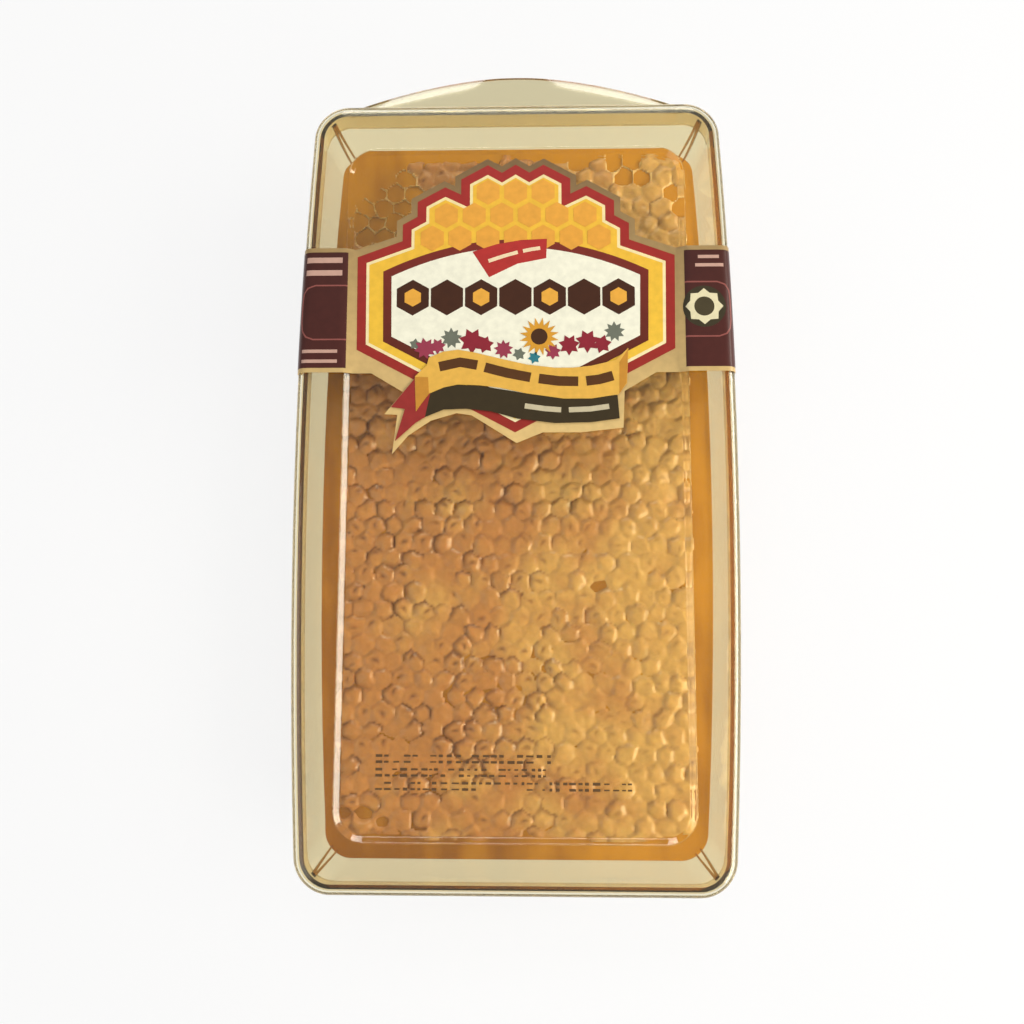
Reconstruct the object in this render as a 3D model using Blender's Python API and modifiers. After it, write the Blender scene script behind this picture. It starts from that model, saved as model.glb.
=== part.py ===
"""A piece of honeycomb in liquid honey, shut in a clear plastic box with a printed label over its lid."""

import math

import bmesh
import bpy
from mathutils import Matrix, Vector, noise

MM = 0.001
GAP = 0.3 * MM

# The box seen from above: its long sides bow out a little, and its corners are round.
LENGTH = 208 * MM
END_WIDTH = 109.5 * MM
BOW = 3.3 * MM
CORNER_STEPS = 6
SIDE_STEPS = 6

# Heights above the surface that the box lies on.
HEIGHT = 38.5 * MM
SKIRT_BOTTOM = 28.5 * MM
PANEL_DEPTH = 1.2 * MM
TRAY_TOP = 36.4 * MM
HONEY_LEVEL = 21.5 * MM

TRAY_WALL = 1.2 * MM
LID_WALL = 1.0 * MM

# The tray's outer surface from its base up: how far in from the box's sides and ends, corner, height.
TRAY_PROFILE = (
    (8.0 * MM, 10.5 * MM, 8.0 * MM, 0.0),
    (5.6 * MM, 8.1 * MM, 9.5 * MM, 0.8 * MM),
    (4.7 * MM, 7.2 * MM, 10.0 * MM, 3.0 * MM),
    (1.7 * MM, 1.7 * MM, 7.5 * MM, TRAY_TOP),
)

# The lid's outer surface from its sunk panel out over the border and down the skirt.
PANEL_HALF_WIDTH = 43.4 * MM
PANEL_END_INSET = 14.8 * MM
PANEL_CORNER = 6.0 * MM
STEP_RUN = 1.8 * MM
LID_ROUNDING = (
    (3.0 * MM, 6.5 * MM, HEIGHT),
    (1.7 * MM, 7.6 * MM, HEIGHT - 0.25 * MM),
    (0.7 * MM, 8.4 * MM, HEIGHT - 0.95 * MM),
    (0.15 * MM, 8.9 * MM, HEIGHT - 2.2 * MM),
    (0.0, 9.0 * MM, SKIRT_BOTTOM),
)

# The lift tab, a clear arc on the far end of the lid with a raised middle facet.
TAB_HALF_WIDTH = 46.0 * MM
TAB_REACH = 8.5 * MM
TAB_THICKNESS = 1.2 * MM
TAB_TOP = 36.0 * MM
TAB_ROOT = 0.5 * MM
TAB_STEPS = 14
CREASE_FOOT = 15.3 * MM
CREASE_TIP = 5.2 * MM
CREASE_DROP = 0.08

# The comb: hexagonal cells with a wax cap each, and open cells at three corners.
CELL_PITCH = 5.3 * MM
COMB_LEFT = -48.6 * MM
COMB_RIGHT = 50.0 * MM
COMB_NEAR = -92.6 * MM
COMB_FAR = 95.4 * MM
COMB_CORNER = 10.0 * MM
COMB_FLOOR = 2.4 * MM
FLOOR_NARROWING = (0.95, 0.965)
COMB_RIM = 22.0 * MM
CAP_RISE = 0.55 * MM
OPEN_DEPTH = 2.6 * MM
WAVE_SIZE = 24.0 * MM
WAVE_RISE = 0.45 * MM
CELL_WANDER = 0.35 * MM
# Where cells stand open: the middle of each patch and its radius. Past the first, the corner is cut off.
OPEN_PATCHES = (
    (Vector((-38.0 * MM, 80.0 * MM)), 13.0 * MM),
    (Vector((30.0 * MM, 88.0 * MM)), 10.0 * MM),
    (Vector((-42.0 * MM, -86.0 * MM)), 9.0 * MM),
)
CUT_CORNER_SUM = 124.0 * MM

# The label: a die-cut sheet that lies in the lid's panel, with two wings over the border and skirt.
LABEL_THICKNESS = 0.3 * MM
WING_NEAR = 28.6 * MM
WING_FAR = 62.7 * MM
# Its outline from the far side of the right wing, anticlockwise along the stepped crown, in mm.
LABEL_CROWN = (
    (42.5, 62.7), (31.9, 66.3), (31.9, 70.5), (28.1, 72.7), (28.1, 76.9), (19.4, 81.9), (16.3, 80.3),
    (16.3, 83.2), (7.6, 88.1), (3.7, 85.9), (0.0, 88.1), (-3.7, 85.9), (-7.6, 88.1), (-16.3, 83.2),
    (-16.3, 80.3), (-19.4, 81.9), (-28.1, 76.9), (-28.1, 72.7), (-31.9, 70.5), (-31.9, 66.3), (-42.5, 62.7),
)
# And from the near side of the left wing, along the ribbon's tail, the point and the ribbon's right end.
LABEL_FOOT = (
    (-36.3, 28.6), (-28.5, 22.6), (-33.4, 16.8), (-30.0, 16.4), (-31.3, 6.2), (-26.5, 11.2), (-21.6, 14.8),
    (-15.0, 17.0), (-11.3, 16.3), (0.4, 9.0), (6.9, 12.0), (17.0, 12.0), (27.4, 13.2), (27.7, 22.9), (36.3, 28.6),
)


def clear_scene():
    """Removes what the startup scene holds."""
    for thing in list(bpy.data.objects):
        bpy.data.objects.remove(thing, do_unlink=True)


def make_collection(name):
    """A collection in the scene."""
    collection = bpy.data.collections.new(name)
    bpy.context.scene.collection.children.link(collection)
    return collection


def make_material(name, colour, roughness, alpha=1.0):
    """A Principled material of one colour."""
    material = bpy.data.materials.new(name)
    material.use_nodes = True
    shader = material.node_tree.nodes["Principled BSDF"]
    shader.inputs["Base Color"].default_value = (*colour, 1.0)
    shader.inputs["Roughness"].default_value = roughness
    shader.inputs["Metallic"].default_value = 0.0
    shader.inputs["Alpha"].default_value = alpha
    return material


def make_object(name, shape, collection, material=None):
    """An object that holds the finished bmesh, with its faces pointing out."""
    bmesh.ops.recalc_face_normals(shape, faces=shape.faces)
    mesh = bpy.data.meshes.new(name)
    shape.to_mesh(mesh)
    shape.free()
    if material:
        mesh.materials.append(material)
    thing = bpy.data.objects.new(name, mesh)
    collection.objects.link(thing)
    return thing


def make_cutter(name, shape, collection):
    """A helper that only cuts others."""
    cutter = make_object(name, shape, collection)
    cutter.hide_render = True
    cutter.display_type = "WIRE"
    return cutter


def add_boolean(thing, other, operation):
    """A Boolean modifier with the exact solver."""
    modifier = thing.modifiers.new(operation.title(), "BOOLEAN")
    modifier.operation = operation
    modifier.object = other
    modifier.solver = "EXACT"


def add_wall(thing, thickness, offset):
    """Gives an open sheet its wall, with offset -1 inwards and 1 outwards."""
    modifier = thing.modifiers.new("Wall", "SOLIDIFY")
    modifier.thickness = thickness
    modifier.offset = offset
    modifier.use_even_offset = True


def half_width(y):
    """Half the box's width at a place along it."""
    return END_WIDTH / 2 + BOW * (1 - (2 * y / LENGTH) ** 2)


def ring(side_inset, end_inset, corner, z, bow=BOW):
    """The box's outline moved in from its sides and ends, anticlockwise from the right side."""
    half_x = END_WIDTH / 2 - side_inset
    half_y = LENGTH / 2 - end_inset
    plan = []
    for quarter, (side, end) in enumerate(((1, 1), (-1, 1), (-1, -1), (1, -1))):
        for step in range(CORNER_STEPS + 1):
            angle = math.radians(90 * (quarter + step / CORNER_STEPS))
            x = side * (half_x - corner) + corner * math.cos(angle)
            y = end * (half_y - corner) + corner * math.sin(angle)
            plan.append((x, y))
        if side == -1 and end == 1 or side == 1 and end == -1:
            for step in range(1, SIDE_STEPS):
                plan.append((side * half_x, end * (half_y - corner) * (1 - 2 * step / SIDE_STEPS)))
    return [
        Vector((x + math.copysign(bow * (1 - (y / half_y) ** 2), x), y, z)) for x, y in plan
    ]


def loft(rings, closed):
    """A skin through the rings, capped at the first one and, if closed, at the last."""
    shape = bmesh.new()
    lower = [shape.verts.new(point) for point in rings[0]]
    shape.faces.new(lower)
    for points in rings[1:]:
        upper = [shape.verts.new(point) for point in points]
        for index in range(len(points)):
            after = (index + 1) % len(points)
            shape.faces.new((lower[index], lower[after], upper[after], upper[index]))
        lower = upper
    if closed:
        shape.faces.new(lower)
    return shape


def make_tray(collection, material):
    """The clear tray: a flat base and four walls that lean out."""
    rings = [ring(*row) for row in TRAY_PROFILE]
    tray = make_object("tray", loft(rings, closed=False), collection, material)
    add_wall(tray, TRAY_WALL, -1)
    return tray


def panel_ring(grow, z):
    """The outline of the lid's sunk panel, whose sides are straight, made wider by grow."""
    side_inset = END_WIDTH / 2 - PANEL_HALF_WIDTH - grow
    return ring(side_inset, PANEL_END_INSET - grow, PANEL_CORNER + grow, z, bow=0)


def lift_tab(collection):
    """The tab's solid: an arc with its middle facet held level and its two sides folded down."""
    shape = bmesh.new()
    root = LENGTH / 2 - TAB_ROOT
    plan = [(TAB_HALF_WIDTH, root)]
    for step in range(1, TAB_STEPS):
        angle = math.pi * step / TAB_STEPS
        across = math.cos(angle)
        plan.append((TAB_HALF_WIDTH * across, root + (TAB_REACH + TAB_ROOT) * (1 - across * across)))
    plan.append((-TAB_HALF_WIDTH, root))
    plate = shape.faces.new([shape.verts.new((x, y, TAB_TOP)) for x, y in plan])
    solid = bmesh.ops.extrude_face_region(shape, geom=[plate])
    raised = [item for item in solid["geom"] if isinstance(item, bmesh.types.BMVert)]
    bmesh.ops.translate(shape, verts=raised, vec=(0, 0, -TAB_THICKNESS))
    for side in (1, -1):
        foot = Vector((side * CREASE_FOOT, LENGTH / 2, 0))
        tip = Vector((side * CREASE_TIP, LENGTH / 2 + TAB_REACH, 0))
        outward = (tip - foot).normalized().cross(Vector((0, 0, side))).normalized()
        everything = shape.verts[:] + shape.edges[:] + shape.faces[:]
        bmesh.ops.bisect_plane(shape, geom=everything, plane_co=foot, plane_no=outward, dist=1e-6)
        for vert in shape.verts:
            past = (vert.co - foot).dot(outward)
            if past > 0:
                vert.co.z -= CREASE_DROP * past
    return make_cutter("tab_solid", shape, collection)


def make_lid(collection, cutters, material):
    """The clear lid: a sunk panel, a level border, a round edge and a skirt, with its lift tab."""
    rings = [panel_ring(0, HEIGHT - PANEL_DEPTH), panel_ring(STEP_RUN, HEIGHT)]
    rings += [ring(inset, inset, corner, z) for inset, corner, z in LID_ROUNDING]
    lid = make_object("lid", loft(rings, closed=False), collection, material)
    add_wall(lid, LID_WALL, -1)
    add_boolean(lid, lift_tab(cutters), "UNION")
    return lid


def wander(point):
    """How far the comb's wax strays from an even lattice at a place."""
    return noise.noise_vector(Vector((point.x, point.y, 0)) / WAVE_SIZE * 3) * CELL_WANDER


def in_comb(x, y):
    """Whether a cell stands at a place: the comb's corners are round, and one is cut off."""
    half_x = (COMB_RIGHT - COMB_LEFT) / 2
    half_y = (COMB_FAR - COMB_NEAR) / 2
    past_x = abs(x - (COMB_RIGHT + COMB_LEFT) / 2) - (half_x - COMB_CORNER)
    past_y = abs(y - (COMB_FAR + COMB_NEAR) / 2) - (half_y - COMB_CORNER)
    in_corner = math.hypot(max(past_x, 0), max(past_y, 0)) < COMB_CORNER - CELL_PITCH / 3
    return in_corner and y - x < CUT_CORNER_SUM


def comb_sheet():
    """The comb's upper face, six facets to a cell, as an open sheet of welded cells."""
    shape = bmesh.new()
    radius = CELL_PITCH / math.sqrt(3)
    row_pitch = CELL_PITCH * math.sqrt(3) / 2
    rows = round((COMB_FAR - COMB_NEAR) / row_pitch)
    columns = int((COMB_RIGHT - COMB_LEFT) / CELL_PITCH - 0.5)
    middles = []
    for row in range(rows):
        for column in range(columns):
            x = COMB_LEFT + CELL_PITCH * (column + 0.5 + 0.5 * (row % 2))
            y = COMB_NEAR + row_pitch * (row + 0.5)
            if not in_comb(x, y):
                continue
            place = Matrix.Translation((x, y, COMB_RIM))
            bmesh.ops.create_circle(shape, cap_ends=True, cap_tris=True, radius=radius, segments=6, matrix=place)
            middles.append(Vector((x, y)))
    bmesh.ops.remove_doubles(shape, verts=shape.verts, dist=0.05 * MM)
    is_middle = {(round(spot.x, 5), round(spot.y, 5)) for spot in middles}
    for vert in shape.verts:
        spot = Vector((vert.co.x, vert.co.y))
        if (round(spot.x, 5), round(spot.y, 5)) in is_middle:
            stands_open = any((spot - middle).length < reach for middle, reach in OPEN_PATCHES)
            vert.co.z += -OPEN_DEPTH if stands_open else CAP_RISE
        vert.co.z += WAVE_RISE * noise.noise(vert.co / WAVE_SIZE)
    for vert in shape.verts:
        shift = wander(vert.co)
        vert.co += Vector((shift.x, shift.y, 0))
    return shape


def drop_to_floor(shape, floor):
    """Turns an open sheet into a solid, with sides that lean in and a flat underside."""
    rim = [edge for edge in shape.edges if edge.is_boundary]
    sides = bmesh.ops.extrude_edge_only(shape, edges=rim)
    feet = [item for item in sides["geom"] if isinstance(item, bmesh.types.BMVert)]
    for vert in feet:
        fall = (vert.co.z - floor) / (COMB_RIM - COMB_FLOOR)
        vert.co.x *= 1 - (1 - FLOOR_NARROWING[0]) * fall
        vert.co.y *= 1 - (1 - FLOOR_NARROWING[1]) * fall
        vert.co.z = floor
    underside = [item for item in sides["geom"] if isinstance(item, bmesh.types.BMEdge)]
    bmesh.ops.contextual_create(shape, geom=underside)


def make_comb(collection, material):
    """The piece of comb, cut along its cells."""
    shape = comb_sheet()
    drop_to_floor(shape, COMB_FLOOR)
    return make_object("honeycomb", shape, collection, material)


def comb_pocket(cutters):
    """The space that the comb takes in the honey: its outline with a gap all round."""
    shape = comb_sheet()
    shifts = {}
    for vert in shape.verts:
        if not vert.is_boundary:
            continue
        rim = [edge.other_vert(vert).co - vert.co for edge in vert.link_edges if edge.is_boundary]
        first, second = (Vector((step.x, step.y, 0)).normalized() for step in rim)
        tangent = (first - second).normalized()
        outward = Vector((tangent.y, -tangent.x, 0))
        inside = sum((face.calc_center_median() for face in vert.link_faces), Vector()) / len(vert.link_faces)
        if outward.dot(vert.co - inside) < 0:
            outward.negate()
        squareness = abs(outward.dot(Vector((first.y, -first.x, 0))))
        shifts[vert] = outward * (GAP / squareness)
    for vert, shift in shifts.items():
        vert.co += shift
    for vert in shape.verts:
        vert.co.z = COMB_RIM
    bmesh.ops.delete(shape, geom=[vert for vert in shape.verts if vert not in shifts], context="VERTS")
    bmesh.ops.delete(shape, geom=shape.faces[:], context="FACES_ONLY")
    wire = [edge for edge in shape.edges if not edge.link_faces]
    bmesh.ops.contextual_create(shape, geom=wire)
    drop_to_floor(shape, 0)
    return make_cutter("comb_pocket", shape, cutters)


def tray_inset(z, low, high):
    """How far in from the box's outline the tray's outer wall is at a height."""
    (low_inset, low_z), (high_inset, high_z) = low, high
    return low_inset + (high_inset - low_inset) * (z - low_z) / (high_z - low_z)


def make_honey(collection, cutters, material):
    """The liquid honey that fills the tray up to its level, all round the comb."""
    foot, rim = TRAY_PROFILE[2], TRAY_PROFILE[3]
    clear = TRAY_WALL + GAP + 0.05 * MM
    rings = [
        ring(8.9 * MM, 11.4 * MM, 8.0 * MM, TRAY_WALL + GAP + 0.1 * MM),
        ring(6.8 * MM, 9.3 * MM, 8.4 * MM, TRAY_WALL + GAP + 0.9 * MM),
    ]
    for z, corner in ((foot[3] + 1.0 * MM, 8.6 * MM), (HONEY_LEVEL, 7.8 * MM)):
        side = tray_inset(z, (foot[0], foot[3]), (rim[0], rim[3])) + clear
        end = tray_inset(z, (foot[1], foot[3]), (rim[1], rim[3])) + clear
        rings.append(ring(side, end, corner, z))
    honey = make_object("honey", loft(rings, closed=True), collection, material)
    add_boolean(honey, comb_pocket(cutters), "DIFFERENCE")
    return honey


def wing_profile():
    """The wing's way from the panel's edge over the border and down the skirt: half-width's loss, height."""
    return (
        (3.1 * MM, HEIGHT + GAP),
        (1.6 * MM, HEIGHT - 0.25 * MM + GAP),
        (0.45 * MM, HEIGHT - 0.95 * MM + GAP),
        (-0.2 * MM, HEIGHT - 2.1 * MM + GAP),
        (-GAP - 0.05 * MM, SKIRT_BOTTOM + 0.5 * MM),
    )


def make_label(collection, material):
    """The label: one printed sheet, flat in the panel, whose wings fold over the lid's sides."""
    shape = bmesh.new()
    sheet_z = HEIGHT - PANEL_DEPTH + GAP
    edge_x = PANEL_HALF_WIDTH - 0.5 * MM
    outline = [(edge_x, WING_NEAR), (edge_x, WING_FAR)]
    outline += [(x * MM, y * MM) for x, y in LABEL_CROWN]
    outline += [(-edge_x, WING_FAR), (-edge_x, WING_NEAR)]
    outline += [(x * MM, y * MM) for x, y in LABEL_FOOT]
    verts = [shape.verts.new((x, y, sheet_z)) for x, y in outline]
    shape.faces.new(verts)
    for side in (1, -1):
        ends = [vert for vert in verts if abs(vert.co.x - side * edge_x) < 0.01 * MM]
        fold = shape.edges.get(ends)
        stops = [(PANEL_HALF_WIDTH + STEP_RUN - 0.2 * MM, HEIGHT + GAP)] + [
            (None, row) for row in wing_profile()
        ]
        for fixed_x, row in stops:
            step = bmesh.ops.extrude_edge_only(shape, edges=[fold])
            for vert in step["geom"]:
                if not isinstance(vert, bmesh.types.BMVert):
                    continue
                if fixed_x is None:
                    inset, z = row
                    vert.co.x = side * (half_width(vert.co.y) - inset)
                    vert.co.z = z
                else:
                    vert.co.x = side * fixed_x
                    vert.co.z = row
            fold = next(
                item for item in step["geom"] if isinstance(item, bmesh.types.BMEdge)
            )
    bmesh.ops.recalc_face_normals(shape, faces=shape.faces)
    if sum(face.normal.z * face.calc_area() for face in shape.faces) < 0:
        bmesh.ops.reverse_faces(shape, faces=shape.faces)
    mesh = bpy.data.meshes.new("label")
    shape.to_mesh(mesh)
    shape.free()
    mesh.materials.append(material)
    label = bpy.data.objects.new("label", mesh)
    collection.objects.link(label)
    add_wall(label, LABEL_THICKNESS, 1)
    return label


def main():
    """Builds the box of honeycomb."""
    clear_scene()
    box = make_collection("boxed_honeycomb")
    cutters = make_collection("cutters")
    clear_plastic = make_material("clear_plastic", (0.86, 0.83, 0.70), 0.08, alpha=0.35)
    make_tray(box, clear_plastic)
    make_lid(box, cutters, clear_plastic)
    make_comb(box, make_material("beeswax", (0.62, 0.38, 0.16), 0.45))
    make_honey(box, cutters, make_material("honey", (0.55, 0.25, 0.03), 0.1))
    make_label(box, make_material("printed_paper", (0.35, 0.10, 0.08), 0.4))


main()
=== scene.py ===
"""A piece of honeycomb in liquid honey, shut in a clear plastic box with a printed label over its lid."""

import math

import bmesh
import bpy
import numpy as np
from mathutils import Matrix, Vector
from mathutils.geometry import delaunay_2d_cdt


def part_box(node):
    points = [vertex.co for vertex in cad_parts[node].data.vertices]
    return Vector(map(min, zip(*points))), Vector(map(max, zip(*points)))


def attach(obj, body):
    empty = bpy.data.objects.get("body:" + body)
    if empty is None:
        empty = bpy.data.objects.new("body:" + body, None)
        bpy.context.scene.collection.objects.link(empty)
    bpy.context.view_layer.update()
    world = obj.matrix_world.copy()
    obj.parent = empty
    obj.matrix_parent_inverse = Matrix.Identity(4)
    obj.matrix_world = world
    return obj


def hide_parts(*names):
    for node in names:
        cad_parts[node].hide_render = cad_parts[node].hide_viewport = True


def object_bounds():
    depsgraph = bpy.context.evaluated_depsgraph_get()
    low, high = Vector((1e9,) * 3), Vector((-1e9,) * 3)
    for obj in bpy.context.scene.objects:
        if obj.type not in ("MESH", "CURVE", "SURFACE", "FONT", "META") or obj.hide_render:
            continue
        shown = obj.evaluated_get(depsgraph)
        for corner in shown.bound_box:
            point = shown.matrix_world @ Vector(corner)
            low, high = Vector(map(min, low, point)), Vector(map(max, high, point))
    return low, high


bl_info = {
    "name": "Honeycomb Box",
    "version": (1, 0, 0),
    "blender": (4, 5, 0),
    "location": "View3D > Sidebar > Honeycomb",
    "description": "Builds a clear box with a piece of honeycomb, liquid honey and a die-cut label",
    "category": "Object",
}

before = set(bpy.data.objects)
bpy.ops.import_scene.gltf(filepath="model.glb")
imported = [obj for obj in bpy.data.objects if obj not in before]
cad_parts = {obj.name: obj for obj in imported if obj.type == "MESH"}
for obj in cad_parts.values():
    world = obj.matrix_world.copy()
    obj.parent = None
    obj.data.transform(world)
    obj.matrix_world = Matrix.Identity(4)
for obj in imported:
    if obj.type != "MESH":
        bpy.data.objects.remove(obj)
cad_low, cad_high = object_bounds()
MM = 0.001

LID_LOW, LID_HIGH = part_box("lid")
HONEY_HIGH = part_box("honey")[1]
COMB_LOW, COMB_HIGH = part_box("honeycomb")

# The box seen from above: its long sides bow out a little, and its corners are round.
LENGTH = -2 * LID_LOW.y
BOW = 3.3 * MM
END_WIDTH = 2 * (LID_HIGH.x - BOW)
CORNER_STEPS = 14
SIDE_STEPS = 14
HEIGHT = LID_HIGH.z
SKIRT_BOTTOM = LID_LOW.z
PANEL_TOP = HEIGHT - 1.2 * MM
TRAY_TOP = HEIGHT - 2.1 * MM
TRAY_WALL = 1.2 * MM
LID_WALL = 1.0 * MM

# The tray's outer surface from its base up: in from the sides, in from the ends, corner, height.
TRAY_PROFILE = (
    (8.0 * MM, 10.5 * MM, 8.0 * MM, 0.0),
    (6.6 * MM, 9.1 * MM, 8.8 * MM, 0.15 * MM),
    (5.6 * MM, 8.1 * MM, 9.5 * MM, 0.8 * MM),
    (5.0 * MM, 7.5 * MM, 9.9 * MM, 1.8 * MM),
    (4.7 * MM, 7.2 * MM, 10.0 * MM, 3.0 * MM),
    (1.7 * MM, 1.7 * MM, 7.5 * MM, TRAY_TOP),
)

# The lid's outer surface from its border out over the round edge and down the skirt.
PANEL_HALF_WIDTH = 43.4 * MM
PANEL_END_INSET = 14.8 * MM
PANEL_CORNER = 6.0 * MM
LID_ROUNDING = (
    (3.0 * MM, 6.5 * MM, HEIGHT),
    (2.2 * MM, 7.2 * MM, HEIGHT - 0.08 * MM),
    (1.5 * MM, 7.8 * MM, HEIGHT - 0.32 * MM),
    (0.9 * MM, 8.3 * MM, HEIGHT - 0.75 * MM),
    (0.45 * MM, 8.6 * MM, HEIGHT - 1.4 * MM),
    (0.15 * MM, 8.9 * MM, HEIGHT - 2.4 * MM),
    (0.0, 9.0 * MM, HEIGHT - 4.2 * MM),
    (0.0, 9.0 * MM, SKIRT_BOTTOM),
)


def shade(code):
    """A colour written as sRGB hex, turned to linear."""
    parts = [int(code[place:place + 2], 16) / 255 for place in (1, 3, 5)]
    return tuple(part / 12.92 if part <= 0.04045 else ((part + 0.055) / 1.055) ** 2.4 for part in parts)


def colour_property(name, description, code):
    """A colour that the sidebar shows."""
    return bpy.props.FloatVectorProperty(
        name=name, description=description, subtype="COLOR", size=3, min=0, max=1, default=shade(code)
    )


def length_property(name, description, millimetres):
    """A length that the sidebar shows."""
    return bpy.props.FloatProperty(
        name=name, description=description, unit="LENGTH", subtype="DISTANCE", min=0, default=millimetres * MM
    )


class PlasticSettings(bpy.types.PropertyGroup):
    """The clear box."""

    tint: colour_property("Tint", "Faint straw tint of the clear plastic", "#F4EED6")
    # Painted shade: a brown tint for the tray's rim faces and corner ribs, in place of the colour light takes on
    # down the length of the clear wall.
    rim_tint_painted_shade: colour_property("Edge tint", "Tint seen down the length of a cut edge", "#C09458")
    panel_step: length_property("Panel step", "How wide the slope round the lid's sunk panel is", 1.8)


class CombSettings(bpy.types.PropertyGroup):
    """The piece of comb."""

    cell_pitch: length_property("Cell pitch", "Distance between the middles of neighbouring cells", 5.3)
    cap_rise: length_property("Cap rise", "How far a wax cap bulges", 0.62)
    crevice: length_property("Crevice", "How deep the line between two caps is", 0.7)
    step: length_property("Mesh step", "Spacing of the points on the comb's face", 0.5)
    # Soaked and pale wax are real patches of the cappings, mixed by noise; across the comb they also stand for
    # painted shade on the left and painted light on the right.
    soaked_wax: colour_property("Soaked wax", "Wax with honey right under it", "#B67B3E")
    pale_wax: colour_property("Pale wax", "Dry cappings with air under them", "#CCA058")
    # The crevice colour is partly honey in the lines between caps and partly painted shade.
    crevice_honey_and_painted_shade: colour_property("Crevice", "Honey-dark line between the caps", "#7A430F")


class HoneySettings(bpy.types.PropertyGroup):
    """The liquid honey."""

    deep: colour_property("Deep honey", "Where the honey is deep and in shade", "#8C5606")
    bright: colour_property("Bright honey", "Where light comes through the honey", "#C2861A")
    meniscus: length_property("Meniscus", "How far honey climbs the wall", 0.5)


class LabelSettings(bpy.types.PropertyGroup):
    """The die-cut label."""

    paper: length_property("Paper", "Thickness of the sheet", 0.12)
    ink: length_property("Ink", "Thickness of one layer of print", 0.025)
    red: colour_property("Red", "Border of the badge", "#98291F")
    yellow: colour_property("Yellow", "Field behind the comb motif", "#F0C33C")
    cream: colour_property("Cream", "Thin line and middle field", "#F2EFD8")
    maroon: colour_property("Maroon", "The two wings", "#52231C")
    brown: colour_property("Brown", "Dark outline and bars", "#46230F")


class StageSettings(bpy.types.PropertyGroup):
    """Floor, lamps and camera."""

    key: bpy.props.FloatProperty(name="Key lamp", description="Power of the key lamp", default=5.4, min=0)
    fill: bpy.props.FloatProperty(name="Fill lamp", description="Power of the fill lamp", default=1.0, min=0)
    back: bpy.props.FloatProperty(name="Back lamp", description="Power of the far lamp", default=1.6, min=0)
    sky: bpy.props.FloatProperty(name="Sky", description="Strength of the light from all round", default=0.5,
        min=0)
    lens: bpy.props.FloatProperty(
        name="Lens", description="Focal length of the camera", unit="CAMERA", default=34.5, min=1
    )


def add_node(tree, kind, inputs=None, **settings):
    """Adds a node with its settings, and fills or links its inputs."""
    node = tree.nodes.new(kind)
    for name, value in settings.items():
        setattr(node, name, value)
    for socket, value in (inputs or {}).items():
        if isinstance(value, bpy.types.NodeSocket):
            tree.links.new(value, node.inputs[socket])
        else:
            node.inputs[socket].default_value = value
    return node


def new_material(name):
    """An empty node material."""
    material = bpy.data.materials.new(name)
    material.use_nodes = True
    material.node_tree.nodes.clear()
    return material, material.node_tree


def finish_material(tree, shader):
    """Joins a shader to the material's output."""
    add_node(tree, "ShaderNodeOutputMaterial", {"Surface": shader})


def rgba(colour):
    """A colour with full alpha."""
    return (*colour, 1.0)


def place_noise(tree, per_millimetre, detail=2.0, stretch=(1, 1, 1)):
    """Noise on the piece's own coordinates, from 0 to 1."""
    coordinates = add_node(tree, "ShaderNodeTexCoord")
    mapping = add_node(tree, "ShaderNodeMapping", {"Vector": coordinates.outputs["Object"], "Scale": stretch})
    noise = add_node(
        tree,
        "ShaderNodeTexNoise",
        {"Vector": mapping.outputs["Vector"], "Scale": per_millimetre / MM, "Detail": detail},
    )
    return noise.outputs["Fac"]


def place_ramp(tree, axis, start, end):
    """A ramp from 0 to 1 along one axis of the piece."""
    coordinates = add_node(tree, "ShaderNodeTexCoord")
    split = add_node(tree, "ShaderNodeSeparateXYZ", {"Vector": coordinates.outputs["Object"]})
    ramp = add_node(
        tree,
        "ShaderNodeMapRange",
        {"Value": split.outputs[axis], "From Min": start, "From Max": end, "To Min": 0.0, "To Max": 1.0},
    )
    return ramp.outputs["Result"]


def blend_colours(tree, amount, first, second):
    """Two colours mixed by an amount."""
    mix = add_node(tree, "ShaderNodeMix", data_type="RGBA")
    for socket, value in ((mix.inputs[0], amount), (mix.inputs[6], first), (mix.inputs[7], second)):
        if isinstance(value, bpy.types.NodeSocket):
            tree.links.new(value, socket)
        else:
            socket.default_value = value
    return mix.outputs[2]


def combine(tree, operation, first, second=0.0, third=0.0):
    """One sum on numbers."""
    node = add_node(tree, "ShaderNodeMath", {0: first, 1: second, 2: third}, operation=operation)
    return node.outputs[0]


def clear_plastic_material(name, tint, roughness, clearness=1.0):
    """Injection-moulded clear polystyrene: glossy, thin, with a faint straw tint. Lamp light goes through."""
    material, tree = new_material(name)
    waves = add_node(
        tree,
        "ShaderNodeBump",
        {"Height": place_noise(tree, 0.06, 1.0), "Strength": 0.12, "Distance": 0.2 * MM},
    )
    body = add_node(
        tree,
        "ShaderNodeBsdfPrincipled",
        {
            "Base Color": rgba(tint),
            "Roughness": roughness,
            "IOR": 1.5,
            "Transmission Weight": clearness,
            "Normal": waves.outputs["Normal"],
        },
    )
    passing = add_node(tree, "ShaderNodeBsdfTransparent", {"Color": (1, 1, 1, 1)})
    path = add_node(tree, "ShaderNodeLightPath")
    mix = add_node(
        tree,
        "ShaderNodeMixShader",
        {0: path.outputs["Is Shadow Ray"], 1: body.outputs[0], 2: passing.outputs[0]},
    )
    finish_material(tree, mix.outputs[0])
    return material


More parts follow.
